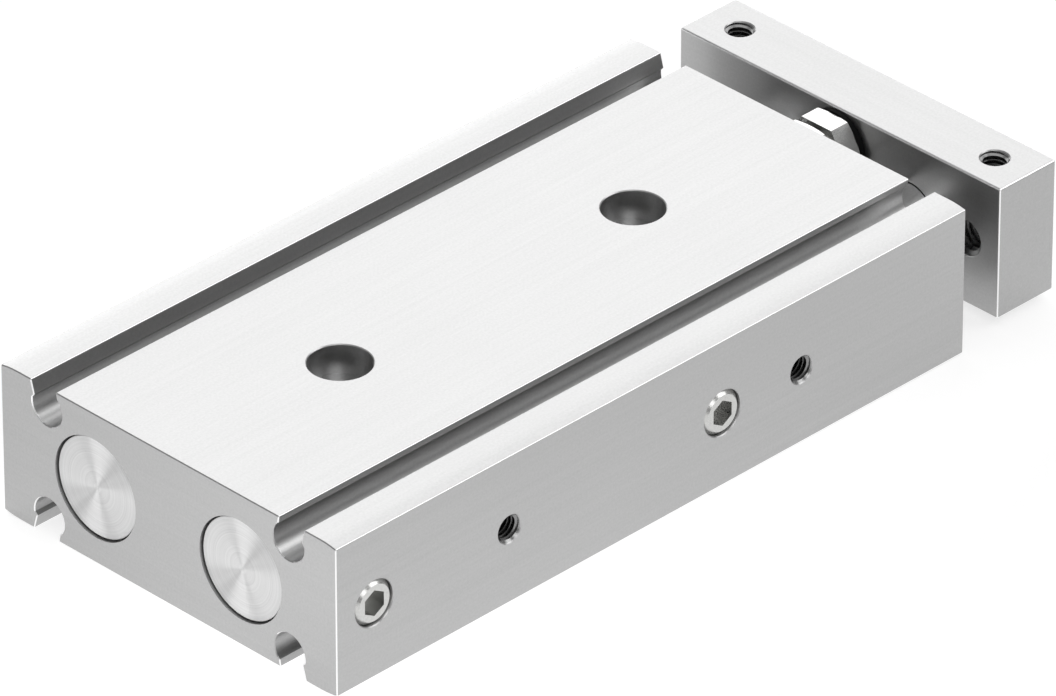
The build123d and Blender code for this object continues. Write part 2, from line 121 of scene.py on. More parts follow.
class FinishSettings(bpy.types.PropertyGroup):
    """Colours and textures of the metal and rubber surfaces."""

    profile_colour: FloatVectorProperty(
        name="Profile", description="Clear anodised aluminium of the housing",
        subtype="COLOR", size=3, min=0, max=1, default=(0.46, 0.46, 0.46),
    )
    plate_colour: FloatVectorProperty(
        name="Plate", description="Clear anodised aluminium of the yoke plate",
        subtype="COLOR", size=3, min=0, max=1, default=(0.44, 0.44, 0.44),
    )
    turned_colour: FloatVectorProperty(
        name="Turned aluminium", description="Bright turned faces of the rear caps",
        subtype="COLOR", size=3, min=0, max=1, default=(0.74, 0.74, 0.74),
    )
    thread_colour: FloatVectorProperty(
        name="Cut threads", description="Oily aluminium of the tapped holes",
        subtype="COLOR", size=3, min=0, max=1, default=(0.3, 0.3, 0.3),
    )
    steel_colour: FloatVectorProperty(
        name="Plated steel", description="Zinc or nickel plated screws and nuts",
        subtype="COLOR", size=3, min=0, max=1, default=(0.70, 0.70, 0.69),
    )
    plug_colour: FloatVectorProperty(
        name="Port plugs", description="Nickel plated screw plugs in the air ports",
        subtype="COLOR", size=3, min=0, max=1, default=(0.57, 0.57, 0.56),
    )
    chrome_colour: FloatVectorProperty(
        name="Chrome", description="Ground and hard-chromed piston rods",
        subtype="COLOR", size=3, min=0, max=1, default=(0.88, 0.88, 0.88),
    )
    grain_length: FloatProperty(
        name="Grain length", description="Length of the drawing lines on the profile",
        unit="LENGTH", min=0.001, max=0.1, default=0.014,
    )
    grain_width: FloatProperty(
        name="Grain width", description="Width of the drawing lines on the profile",
        unit="LENGTH", min=0.00002, max=0.001, default=0.00012, precision=5,
    )
    grain_depth: FloatProperty(
        name="Grain depth", description="Depth of the drawing lines on the profile",
        unit="LENGTH", min=0, max=0.0001, default=0.000004, precision=6,
    )
    ring_width: FloatProperty(
        name="Turning feed", description="Width of one turning mark on a turned face",
        unit="LENGTH", min=0.00002, max=0.001, default=0.00014, precision=5,
    )
    ring_depth: FloatProperty(
        name="Turning depth", description="Depth of the turning marks",
        unit="LENGTH", min=0, max=0.0001, default=0.000006, precision=6,
    )


class ThreadSettings(bpy.types.PropertyGroup):
    """Pitches and lengths of the screw threads."""

    m3_pitch: FloatProperty(
        name="M3 pitch", description="Pitch of the mounting threads in the housing and plate",
        unit="LENGTH", min=0.0002, max=0.002, default=0.5 * MM, precision=5,
    )
    m4_pitch: FloatProperty(
        name="M4 pitch", description="Pitch of the threads through the plate",
        unit="LENGTH", min=0.0002, max=0.002, default=0.7 * MM, precision=5,
    )
    m5_pitch: FloatProperty(
        name="M5 pitch", description="Pitch of the air port threads",
        unit="LENGTH", min=0.0002, max=0.002, default=0.8 * MM, precision=5,
    )
    side_length: FloatProperty(
        name="Side thread length", description="Threaded length of the holes in the housing's sides",
        unit="LENGTH", min=0.001, max=0.02, default=5.0 * MM, precision=5,
    )
    plate_length: FloatProperty(
        name="Plate thread length", description="Threaded length of the holes above and below the plate",
        unit="LENGTH", min=0.001, max=0.02, default=4.6 * MM, precision=5,
    )
    steps: IntProperty(
        name="Steps per turn", description="Straight steps in one turn of a thread",
        min=12, max=128, default=48,
    )


class StageSettings(bpy.types.PropertyGroup):
    """Floor, lamps and camera."""

    floor_radius: FloatProperty(
        name="Floor radius", description="Radius of the round floor",
        unit="LENGTH", min=0.5, max=20, default=3.0,
    )
    floor_colour: FloatVectorProperty(
        name="Floor", description="Colour of the floor",
        subtype="COLOR", size=3, min=0, max=1, default=(0.38, 0.38, 0.38),
    )
    floor_glow: FloatProperty(
        name="Floor glow", description="Light that the floor shows to the camera and to reflections",
        min=0, max=1, default=0.62,
    )
    glow_lift: FloatProperty(
        name="Glow lift", description="How much brighter the floor glows in its brightest place",
        min=0, max=1, default=0.6,
    )
    glow_centre: FloatVectorProperty(
        name="Brightest place", description="Place where the floor glows most",
        subtype="XYZ", unit="LENGTH", size=3, default=(-0.03, -0.008, 0),
    )
    glow_reach: FloatVectorProperty(
        name="Glow reach", description="Distances along X and Y over which the floor's extra glow fades",
        subtype="XYZ", unit="LENGTH", size=3, default=(0.1, 0.045, 1),
    )
    world_level: FloatProperty(
        name="Room light", description="Brightness of the room around the stage",
        min=0, max=2, default=0.3,
    )
    back_level: FloatProperty(
        name="Back softbox", description="Brightness of the softbox behind the cylinder",
        min=0, max=10, default=1.65,
    )
    strip_level: FloatProperty(
        name="Low strip", description="Brightness of the low strip light behind the cylinder",
        min=0, max=10, default=1.2,
    )
    side_level: FloatProperty(
        name="Side softbox", description="Brightness of the softbox beside the cylinder",
        min=0, max=10, default=2.2,
    )
    front_level: FloatProperty(
        name="Front softbox", description="Brightness of the softbox beside the camera",
        min=0, max=10, default=2.2,
    )
    rear_level: FloatProperty(
        name="Rear softbox", description="Brightness of the softbox beyond the rear caps",
        min=0, max=10, default=3.2,
    )
    top_level: FloatProperty(
        name="Top softbox", description="Brightness of the softbox above the cylinder",
        min=0, max=10, default=0.9,
    )
    lamp_distance: FloatProperty(
        name="Softbox distance", description="Distance of the softboxes from the cylinder",
        unit="LENGTH", min=0.2, max=10, default=1.5,
    )
    camera_azimuth: FloatProperty(
        name="Camera azimuth",
        description="Direction in which the camera looks, turned from the rods' axis to the left",
        subtype="ANGLE", unit="ROTATION", default=radians(45.0),
    )
    camera_elevation: FloatProperty(
        name="Camera elevation", description="Angle at which the camera looks down",
        subtype="ANGLE", unit="ROTATION", default=radians(32.27),
    )
    camera_distance: FloatProperty(
        name="Camera distance", description="Distance from the camera to the point it looks at",
        unit="LENGTH", min=0.1, max=10, default=1.2017,
    )
    camera_aim: FloatVectorProperty(
        name="Camera aim", description="Point that the camera looks at",
        subtype="XYZ", unit="LENGTH", size=3, default=(0.003105, -0.002349, 0.009346),
    )
    camera_lens: FloatProperty(
        name="Focal length", description="Focal length of the camera",
        unit="CAMERA", min=10, max=1000, default=421.8,
    )


class CylinderSettings(bpy.types.PropertyGroup):
    """All settings of the cylinder."""

    finish: PointerProperty(type=FinishSettings)
    thread: PointerProperty(type=ThreadSettings)
    stage: PointerProperty(type=StageSettings)


# Node helpers


def add_node(tree, kind, inputs=None, **settings):
    """Add a node, set its own properties, and give its inputs a value or a link each."""
    node = tree.nodes.new(kind)
    for name, value in settings.items():
        setattr(node, name, value)
    for name, value in (inputs or {}).items():
        if isinstance(value, bpy.types.NodeSocket):
            tree.links.new(value, node.inputs[name])
        else:
            node.inputs[name].default_value = value
    return node


def arithmetic(tree, operation, first, second=0.0, clamp=False):
    """One Math node, with a number or a socket for each term."""
    return add_node(tree, "ShaderNodeMath", {0: first, 1: second}, operation=operation, use_clamp=clamp).outputs[0]


def vectors(tree, operation, first, second=(0, 0, 0), output="Vector"):
    """One Vector Math node, with a vector or a socket for each term."""
    return add_node(tree, "ShaderNodeVectorMath", {0: first, 1: second}, operation=operation).outputs[output]


def parts_of(tree, vector):
    """A vector's three parts, under X, Y and Z."""
    return add_node(tree, "ShaderNodeSeparateXYZ", {"Vector": vector}).outputs


def spread(tree, value, low, high):
    """Carry a value between 0 and 1 over to the range from low to high."""
    return add_node(tree, "ShaderNodeMapRange", {"Value": value, "To Min": low, "To Max": high}).outputs["Result"]


def new_group(name, inputs, outputs):
    """Start a shader node group from lists of (name, socket kind, default)."""
    tree = bpy.data.node_groups.new(name, "ShaderNodeTree")
    for label, kind, default in inputs:
        tree.interface.new_socket(label, in_out="INPUT", socket_type=kind).default_value = default
    for label in outputs:
        tree.interface.new_socket(label, in_out="OUTPUT", socket_type="NodeSocketFloat")
    return tree, tree.nodes.new("NodeGroupInput").outputs, tree.nodes.new("NodeGroupOutput").inputs


def place_group(tree, name, **values):
    """Place a shared group in a material, with its own values."""
    group = add_node(tree, "ShaderNodeGroup", node_tree=bpy.data.node_groups[name])
    for label, value in values.items():
        group.inputs[label.replace("_", " ").capitalize()].default_value = value
    return group.outputs


# Shared effects


def make_drawn_grain():
    """Straight drawing or grinding lines. The two grain inputs give the size of a line along X, Y and Z."""
    tree, given, out = new_group(
        "Drawn grain",
        [("Grain on sides", "NodeSocketVector", (0.01, 0.0001, 0.0001)),
         ("Grain on ends", "NodeSocketVector", (0.0001, 0.01, 0.0001))],
        ["Height", "Tone"],
    )
    place = add_node(tree, "ShaderNodeTexCoord").outputs["Object"]
    normal = add_node(tree, "ShaderNodeNewGeometry").outputs["Normal"]
    along_x = arithmetic(tree, "ABSOLUTE", parts_of(tree, normal)["X"])
    on_end = arithmetic(tree, "GREATER_THAN", along_x, END_FACE_SHARE)
    grain = add_node(
        tree, "ShaderNodeMix",
        {"Factor": on_end, 4: given["Grain on sides"], 5: given["Grain on ends"]}, data_type="VECTOR",
    ).outputs[1]
    lines = vectors(tree, "DIVIDE", place, grain)
    fine = add_node(tree, "ShaderNodeTexNoise", {"Vector": lines, "Scale": 1.0, "Detail": 3.0, "Roughness": 0.65})
    broad = add_node(tree, "ShaderNodeTexNoise", {"Vector": lines, "Scale": 0.22, "Detail": 2.0, "Roughness": 0.5})
    tree.links.new(fine.outputs["Fac"], out["Height"])
    both = arithmetic(tree, "ADD", fine.outputs["Fac"], broad.outputs["Fac"])
    tree.links.new(arithmetic(tree, "MULTIPLY", both, 0.5), out["Tone"])


def make_turning_marks():
    """Fine rings round an axis, as a lathe or a counterbore cutter leaves them."""
    tree, given, out = new_group(
        "Turning marks",
        [("Centre", "NodeSocketVector", (0, 0, 0)),
         ("Axis", "NodeSocketVector", (1, 0, 0)),
         ("Feed", "NodeSocketFloat", 0.0001)],
        ["Height", "Tone"],
    )
    place = add_node(tree, "ShaderNodeTexCoord").outputs["Object"]
    arm = vectors(tree, "SUBTRACT", place, given["Centre"])
    along = vectors(tree, "DOT_PRODUCT", arm, given["Axis"], "Value")
    shadow = add_node(tree, "ShaderNodeVectorMath", {0: given["Axis"], "Scale": along}, operation="SCALE")
    radius = vectors(tree, "LENGTH", vectors(tree, "SUBTRACT", arm, shadow.outputs["Vector"]), output="Value")
    count = arithmetic(tree, "DIVIDE", arithmetic(tree, "ADD", radius, along), given["Feed"])
    fine = add_node(tree, "ShaderNodeTexNoise", {"W": count, "Scale": 1.0, "Detail": 2.0}, noise_dimensions="1D")
    broad = add_node(tree, "ShaderNodeTexNoise", {"W": count, "Scale": 0.35, "Detail": 1.0}, noise_dimensions="1D")
    tree.links.new(fine.outputs["Fac"], out["Height"])
    both = arithmetic(tree, "ADD", fine.outputs["Fac"], broad.outputs["Fac"])
    tree.links.new(arithmetic(tree, "MULTIPLY", both, 0.5), out["Tone"])


def make_painted_edge_highlights():
    """Mask of narrow chamfers and rounded edges that turn to a side, near a box's ends, top or bottom, where a
    highlight is painted. The holes within the core, a half-width about Y = 0, keep their plain rims."""
    tree, given, out = new_group(
        "Painted edge highlights",
        [("Low corner", "NodeSocketVector", (0, 0, 0)),
         ("High corner", "NodeSocketVector", (1, 1, 1)),
         ("Width", "NodeSocketVector", (0.0001, 1, 0.0005)),
         ("Core", "NodeSocketFloat", 0.01)],
        ["Mask"],
    )
    place = add_node(tree, "ShaderNodeTexCoord").outputs["Object"]
    normal = add_node(tree, "ShaderNodeNewGeometry").outputs["Normal"]
    below = vectors(tree, "SUBTRACT", place, given["Low corner"])
    above = vectors(tree, "SUBTRACT", given["High corner"], place)
    depths = parts_of(tree, vectors(tree, "DIVIDE", vectors(tree, "MINIMUM", below, above), given["Width"]))
    near = arithmetic(tree, "LESS_THAN", arithmetic(tree, "MINIMUM", depths["X"], depths["Z"]), 1.0)
    across = arithmetic(tree, "ABSOLUTE", parts_of(tree, place)["Y"])
    outside = arithmetic(tree, "MULTIPLY", near, arithmetic(tree, "GREATER_THAN", across, given["Core"]))
    slant = parts_of(tree, vectors(tree, "ABSOLUTE", normal))
    straight = arithmetic(tree, "MAXIMUM", slant["X"], arithmetic(tree, "MAXIMUM", slant["Y"], slant["Z"]))
    slanted = arithmetic(tree, "LESS_THAN", straight, STRAIGHT_SHARE)
    sideways = arithmetic(tree, "GREATER_THAN", slant["Y"], SIDEWAYS_SHARE)
    edge = arithmetic(tree, "MULTIPLY", outside, slanted)
    tree.links.new(arithmetic(tree, "MULTIPLY", edge, sideways), out["Mask"])


def make_recess_shade():
    """Mask that rises from a plane to a depth behind it, for the painted shade in deep sockets and threads."""
    tree, given, out = new_group(
        "Painted recess shade",
        [("Mouth", "NodeSocketVector", (0, 0, 0)),
         ("Inward", "NodeSocketVector", (0, 0, -1)),
         ("Depth", "NodeSocketFloat", 0.001)],
        ["Mask"],
    )
    place = add_node(tree, "ShaderNodeTexCoord").outputs["Object"]
    arm = vectors(tree, "SUBTRACT", place, given["Mouth"])
    along = vectors(tree, "DOT_PRODUCT", arm, given["Inward"], "Value")
    tree.links.new(arithmetic(tree, "DIVIDE", along, given["Depth"], clamp=True), out["Mask"])


def make_handling():
    """Soft patches, where a surface has been touched and wiped, with a fine speckle."""
    tree, given, out = new_group(
        "Handling",
        [("Patch", "NodeSocketFloat", 0.01), ("Speckle", "NodeSocketFloat", 0.0001)],
        ["Patches", "Speckles"],
    )
    place = add_node(tree, "ShaderNodeTexCoord").outputs["Object"]
    for size, label, detail in (("Patch", "Patches", 3.0), ("Speckle", "Speckles", 1.0)):
        scale = arithmetic(tree, "DIVIDE", 1.0, given[size])
        noise = add_node(tree, "ShaderNodeTexNoise", {"Vector": place, "Scale": scale, "Detail": detail})
        tree.links.new(noise.outputs["Fac"], out[label])


# Materials


def start_material(name, metallic, **sockets):
    """A new material with the shader's own plain values set on its sockets."""
    material = bpy.data.materials.new(name)
    material.use_nodes = True
    tree = material.node_tree
    shader = tree.nodes["Principled BSDF"]
    shader.inputs["Metallic"].default_value = metallic
    for label, value in sockets.items():
        shader.inputs[label.replace("_", " ").title()].default_value = value
    return material, tree, shader.inputs


def tint(tree, colour, factor, low, high):
    """The colour, darker or lighter from place to place as the factor goes from 0 to 1."""
    dark, light = (tuple(channel * level for channel in colour) + (1,) for level in (low, high))
    return add_node(tree, "ShaderNodeMix", {"Factor": factor, 6: dark, 7: light}, data_type="RGBA").outputs[2]


def paint_recess_shade(tree, shade, mouth, inward, depth, level):
    """The colour, darkened by painted shade behind a mouth, down to a level at a depth."""
    recess_shade = place_group(tree, "Painted recess shade", mouth=mouth, inward=inward, depth=depth)
    painted_shade = spread(tree, recess_shade["Mask"], 1.0, level)
    return add_node(tree, "ShaderNodeVectorMath", {0: shade, "Scale": painted_shade}, operation="SCALE").outputs["Vector"]


def emboss(tree, height, depth):
    """A Bump node that turns a height between 0 and 1 into a relief of that depth."""
    return add_node(tree, "ShaderNodeBump", {"Height": height, "Distance": depth, "Strength": 1.0}).outputs["Normal"]


def drawn_metal(name, colour, roughness, grain_on_sides, grain_on_ends, depth, highlight_edges_of=None, width=None, core=0.0):
    """Metal with drawing lines, and where a node is given, a painted highlight on the edges round its outside."""
    material, tree, shader = start_material(name, 1.0)
    grain = place_group(tree, "Drawn grain", grain_on_sides=grain_on_sides, grain_on_ends=grain_on_ends)
    marks = place_group(tree, "Handling", patch=12 * MM, speckle=0.25 * MM)
    tone = arithmetic(tree, "MULTIPLY", arithmetic(tree, "ADD", grain["Tone"], marks["Speckles"]), 0.5)
    shade = tint(tree, colour, tone, *METAL_TONES)
    if highlight_edges_of:
        low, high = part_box(highlight_edges_of)
        edges = place_group(tree, "Painted edge highlights", low_corner=low, high_corner=high, width=width, core=core)
        # Painted highlight: the masked edges take a near-white colour
        shade = add_node(
            tree, "ShaderNodeMix", {"Factor": edges["Mask"], 6: shade, 7: EDGE_HIGHLIGHT_COLOUR}, data_type="RGBA"
        ).outputs[2]
    tree.links.new(shade, shader["Base Color"])
    wiped = arithmetic(tree, "ADD", grain["Tone"], marks["Patches"])
    tree.links.new(spread(tree, arithmetic(tree, "MULTIPLY", wiped, 0.5), *roughness), shader["Roughness"])
    tree.links.new(emboss(tree, grain["Height"], depth), shader["Normal"])
    return material


def turned_metal(name, colour, roughness, centre, axis, feed, depth, anisotropic=0.0, recess_shade=None):
    """Metal with turning marks about one axis. Painted shade, if given as mouth, way in, depth and tone, darkens it
    behind the mouth.
    """
    material, tree, shader = start_material(name, 1.0, anisotropic=anisotropic, anisotropic_rotation=0.25)
    rings = place_group(tree, "Turning marks", centre=centre, axis=axis, feed=feed)
    marks = place_group(tree, "Handling", patch=4 * MM, speckle=0.2 * MM)
    shade = tint(tree, colour, rings["Tone"], *METAL_TONES)
    if recess_shade:
        # Painted shade: the colour darkens behind the mouth
        shade = paint_recess_shade(tree, shade, *recess_shade)
    tree.links.new(shade, shader["Base Color"])
    worn = arithmetic(tree, "MULTIPLY", arithmetic(tree, "ADD", rings["Tone"], marks["Patches"]), 0.5)
    tree.links.new(spread(tree, worn, *roughness), shader["Roughness"])
    tree.links.new(emboss(tree, rings["Height"], depth), shader["Normal"])
    if anisotropic:
        tangent = add_node(tree, "ShaderNodeTangent", direction_type="RADIAL", axis="X")
        tree.links.new(tangent.outputs["Tangent"], shader["Tangent"])
    return material


def cut_thread(name, finish, mouth, inward, tone):
    """Metal of a tapped hole, darkened by painted shade with each turn away from its mouth, down to a tone."""
    return turned_metal(
        name, finish.thread_colour, roughness=(0.2, 0.35), centre=mouth, axis=inward,
        feed=THREAD_MARK_FEEDS * finish.ring_width, depth=FINE_RELIEF, recess_shade=(mouth, inward, PAINTED_SHADE_DEPTH, tone),
    )


def plain_compound(name, colour, roughness, grain, metallic=0.0):
    """Rubber, plastic or sintered metal: an even colour with a fine moulded grain."""
    material, tree, shader = start_material(name, metallic)
    marks = place_group(tree, "Handling", patch=3 * MM, speckle=grain)
    tree.links.new(tint(tree, colour, marks["Patches"], *COMPOUND_TONES), shader["Base Color"])
    tree.links.new(spread(tree, marks["Speckles"], *roughness), shader["Roughness"])
    tree.links.new(emboss(tree, marks["Speckles"], grain * 0.1), shader["Normal"])
    return material


def paint(material, *names):
    """Give CAD nodes a material in place of the one they came with."""
    for name in names:
        mesh = nodes[name].data
        mesh.materials.clear()
        mesh.materials.append(material)


# Mesh helpers


def link_mesh(name, build):
    """Turn a bmesh into an object, with smooth faces between its sharp edges."""
    mesh = bpy.data.meshes.new(name)
    build.to_mesh(mesh)
    build.free()
    for face in mesh.polygons:
        face.use_smooth = True
    mesh.set_sharp_from_angle(angle=SHARP_ANGLE)
    piece = bpy.data.objects.new(name, mesh)
    bpy.context.scene.collection.objects.link(piece)
    return piece


def thread_radius(depth, turn, radius, pitch, far_mouth):
    """Radius of an inner thread: flats at root and crest, flanks between, and a countersunk turn at each mouth."""
    crest = radius - THREAD_HEIGHT * pitch
    phase = (depth / pitch - turn) % 1
    if phase < ROOT_END:
        level = radius
    elif phase < CREST_START:
        level = radius - (radius - crest) * (phase - ROOT_END) / (CREST_START - ROOT_END)
    elif phase < CREST_END:
        level = crest
    else:
        level = crest + (radius - crest) * (phase - CREST_END) / (1 - CREST_END)
    return max(level, radius - depth, radius - (far_mouth - depth) if far_mouth else 0)


def thread_sleeve(name, start, direction, radius, pitch, length, steps, both_ends=False):
    """Helical inner thread, a closed sleeve just inside a plain hole's wall, from a mouth inwards."""
    wall = radius + SLEEVE_OVERLAP
    far_mouth = length if both_ends else 0
    marks = [turn + corner for turn in range(-1, int(length / pitch) + 2) for corner in THREAD_CORNERS]
    turned = direction.to_track_quat("Z", "Y")
    build = bmesh.new()
    columns = []
    for step in range(steps):
        angle = 2 * pi * step / steps
        column = []
        for mark in marks:
            depth = min(max((mark + step / steps) * pitch, 0), length)
            distance = thread_radius(depth, step / steps, radius, pitch, far_mouth)
            column.append((distance, depth))
        column += [(wall, length), (wall, 0)]
        columns.append([
            build.verts.new(start + turned @ Vector((r * cos(angle), r * sin(angle), depth))) for r, depth in column
        ])
    for step in range(steps):
        here, there = columns[step], columns[(step + 1) % steps]
        shift = 0 if step < steps - 1 else len(THREAD_CORNERS)
        last = len(marks) - 1
        for row in range(last):
            if shift and row + shift + 1 > last:
                continue
            build.faces.new((here[row], here[row + 1], there[row + shift + 1], there[row + shift]))
        for low, high in ((last, last + 1), (last + 1, last + 2), (last + 2, 0)):
            build.faces.new((here[low], here[high], there[high], there[low]))
    bmesh.ops.remove_doubles(build, verts=build.verts, dist=MERGE_DISTANCE)
    bmesh.ops.dissolve_degenerate(build, edges=build.edges, dist=SLIVER_LENGTH)
    bmesh.ops.recalc_face_normals(build, faces=build.faces)
    return link_mesh(name, build)


def centre_of(node):
    """Centre of a CAD node's box."""
    low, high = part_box(node)
    return (low + high) / 2


# Operators


class CYLINDER_OT_stage(bpy.types.Operator):
    """Set up the floor, the softboxes, the room light and the camera"""

    bl_idname = "cylinder.stage"
    bl_label = "Stage"

    def execute(self, context):
        stage = context.scene.cylinder.stage
        self.lay_floor(stage)
        self.light_room(context, stage)
        for name, level, turn, rise, width, height in SOFTBOXES:
            self.hang_softbox(context, stage, name, getattr(stage, level), radians(turn), radians(rise), width, height)
        self.set_camera(context, stage)
        context.scene.view_settings.view_transform = "Standard"
        return {"FINISHED"}

    def lay_floor(self, stage):
        """A round floor. Its glow shows to the camera and in reflections, and lights nothing."""
        build = bmesh.new()
        bmesh.ops.create_circle(build, cap_ends=True, radius=stage.floor_radius, segments=FLOOR_SEGMENTS)
        bmesh.ops.translate(build, verts=build.verts, vec=(0, 0, -FLOOR_GAP))
        floor = link_mesh("floor", build)
        material, tree, shader = start_material("Pale floor", 0.0, roughness=0.9)
        shader["Specular IOR Level"].default_value = 0.0
        shader["Base Color"].default_value = (*stage.floor_colour, 1)
        light = add_node(tree, "ShaderNodeLightPath").outputs
        seen = arithmetic(tree, "ADD", light["Is Camera Ray"], light["Is Glossy Ray"], clamp=True)
        seen = arithmetic(tree, "ADD", seen, light["Is Transmission Ray"], clamp=True)
        place = add_node(tree, "ShaderNodeTexCoord").outputs["Object"]
        arm = vectors(tree, "DIVIDE", vectors(tree, "SUBTRACT", place, stage.glow_centre), stage.glow_reach)
        lift = spread(tree, vectors(tree, "LENGTH", arm, output="Value"), 1 + stage.glow_lift, 1.0)
        shader["Emission Color"].default_value = (1, 1, 1, 1)
        glow = arithmetic(tree, "MULTIPLY", seen, stage.floor_glow)
        tree.links.new(arithmetic(tree, "MULTIPLY", glow, lift), shader["Emission Strength"])
        floor.data.materials.append(material)

    def light_room(self, context, stage):
        """An even white room."""
        world = bpy.data.worlds.new("Room")
        world.use_nodes = True
        background = world.node_tree.nodes["Background"].inputs
        background["Color"].default_value = (1, 1, 1, 1)
        background["Strength"].default_value = stage.world_level
        context.scene.world = world

    def hang_softbox(self, context, stage, name, level, turn, rise, width, height):
        """One softbox, which faces the cylinder and isn't seen by the camera."""
        lamp = bpy.data.lights.new(name, "AREA")
        lamp.shape = "RECTANGLE"
        lamp.size, lamp.size_y = width, height
        lamp.energy = level * pi * width * height
        softbox = bpy.data.objects.new(name, lamp)
        outward = Vector((cos(turn) * cos(rise), sin(turn) * cos(rise), sin(rise)))
        softbox.location = outward * stage.lamp_distance
        softbox.rotation_mode = "QUATERNION"
        softbox.rotation_quaternion = (-outward).to_track_quat("-Z", "Y")
        softbox.visible_camera = False
        context.scene.collection.objects.link(softbox)

    def set_camera(self, context, stage):
        """The photograph's camera."""
        lens = bpy.data.cameras.new("Camera")
        lens.lens = stage.camera_lens
        lens.clip_start, lens.clip_end = CAMERA_REACH
        camera = bpy.data.objects.new("camera", lens)
        turn, fall = stage.camera_azimuth, stage.camera_elevation
        forward = Vector((cos(turn) * cos(fall), sin(turn) * cos(fall), -sin(fall)))
        camera.location = Vector(stage.camera_aim) - forward * stage.camera_distance
        camera.rotation_mode = "QUATERNION"
        camera.rotation_quaternion = forward.to_track_quat("-Z", "Y")
        context.scene.collection.objects.link(camera)
        context.scene.camera = camera


class CYLINDER_OT_effects(bpy.types.Operator):
    """Make the shared effects that the materials use"""

    bl_idname = "cylinder.effects"
    bl_label = "Shared effects"

    def execute(self, context):
        make_drawn_grain()
        make_turning_marks()
        make_painted_edge_highlights()
        make_recess_shade()
        make_handling()
        return {"FINISHED"}


class CYLINDER_OT_housing(bpy.types.Operator):
    """Finish the housing and cut the threads of its side holes and open air ports"""

    bl_idname = "cylinder.housing"
    bl_label = "Housing"

    def execute(self, context):
        finish, thread = context.scene.cylinder.finish, context.scene.cylinder.thread
        long, fine = finish.grain_length, finish.grain_width
        material = drawn_metal(
            "Drawn profile", finish.profile_colour, roughness=(0.3, 0.42), grain_on_sides=(long, fine, fine),
            grain_on_ends=(fine, long, fine), depth=finish.grain_depth, highlight_edges_of="housing",
            width=(0.12 * MM, 1, 0.5 * MM), core=14.9 * MM,
        )
        paint(material, "housing")
        for side in ("left", "right"):
            mount = mounts[f"side_threads_{side}"]
            inward = -Vector(mount["axis"])
            cut = cut_thread(f"Cut thread {side}", finish, Vector(mount["pos_m"]), inward, BLIND_THREAD_TONE)
            for number, x in enumerate((-0.5, 0.5), 1):
                start = Vector(mount["pos_m"]) + Vector((x * mount["dims"]["spacing_x_mm"] * MM, 0, 0))
                piece = thread_sleeve(
                    f"side_thread_{side}_{number}", start, inward, mount["dims"]["hole_r_mm"] * MM,
                    thread.m3_pitch, thread.side_length, thread.steps,
                )
                self.keep(piece, cut)
        for name in ("air_port_rear", "air_port_front"):
            mount = mounts[name]
            outward, length = Vector(mount["axis"]), mount["dims"]["length_mm"] * MM
            start = Vector(mount["pos_m"]) + outward * length / 2
            cut = cut_thread(f"Cut {name}", finish, start, -outward, BLIND_THREAD_TONE)
            piece = thread_sleeve(
                f"{name}_thread", start, -outward, mount["dims"]["r_mm"] * MM,
                thread.m5_pitch, length * PORT_THREAD_SHARE, thread.steps,
            )
            self.keep(piece, cut)
        return {"FINISHED"}

    def keep(self, piece, material):
        """Give a thread sleeve its material, body and slot."""
        piece.data.materials.append(material)
        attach(piece, BODY)


class CYLINDER_OT_rear_caps(bpy.types.Operator):
    """Finish the two turned rear caps"""

    bl_idname = "cylinder.rear_caps"
    bl_label = "Rear caps"

    def execute(self, context):
        finish = context.scene.cylinder.finish
        for side in ("left", "right"):
            name = f"rear_cap_{side}"
            material = turned_metal(
                f"Turned cap {side}", finish.turned_colour, roughness=(0.42, 0.5), centre=centre_of(name),
                axis=(1, 0, 0), feed=finish.ring_width, depth=finish.ring_depth, anisotropic=0.96,
            )
            paint(material, name)
        return {"FINISHED"}


class CYLINDER_OT_guides(bpy.types.Operator):
    """Finish the rod guides with their bushes and retaining rings"""

    bl_idname = "cylinder.guides"
    bl_label = "Rod guides"

    def execute(self, context):
        finish = context.scene.cylinder.finish
        for side in ("left", "right"):
            name = f"rod_guide_{side}"
            material = turned_metal(
                f"Turned guide {side}", finish.turned_colour, roughness=(0.25, 0.4), centre=centre_of(name),
                axis=(1, 0, 0), feed=finish.ring_width, depth=finish.ring_depth,
            )
            paint(material, name)
        bronze = plain_compound(
            "Sintered bronze", (0.45, 0.28, 0.12), roughness=(0.35, 0.55), grain=0.1 * MM, metallic=1.0
        )
        paint(bronze, "guide_bushes")
        fine = finish.grain_width
        spring = drawn_metal(
            "Spring steel", (0.12, 0.12, 0.13), roughness=(0.35, 0.5), grain_on_sides=(fine, fine, 1 * MM),
            grain_on_ends=(fine, 3 * MM, fine), depth=FINE_RELIEF,
        )
        paint(spring, "retaining_rings")
        return {"FINISHED"}


class CYLINDER_OT_seals(bpy.types.Operator):
    """Finish the seals, O-rings, bumpers and magnets inside the bores"""

    bl_idname = "cylinder.seals"
    bl_label = "Seals and magnets"

    def execute(self, context):
        rubber = plain_compound("Seal rubber", (0.02, 0.02, 0.02), roughness=(0.5, 0.65), grain=0.1 * MM)
        paint(rubber, "rear_cap_o_rings", "guide_o_rings", "rod_seals", "piston_seals", "piston_o_rings")
        bumper = plain_compound("Bumper rubber", (0.06, 0.06, 0.065), roughness=(0.5, 0.6), grain=0.12 * MM)
        paint(bumper, "front_bumpers", "rear_bumpers")
        magnet = plain_compound("Magnet compound", (0.05, 0.05, 0.055), roughness=(0.55, 0.75), grain=0.08 * MM)
        paint(magnet, "piston_magnets")
        return {"FINISHED"}


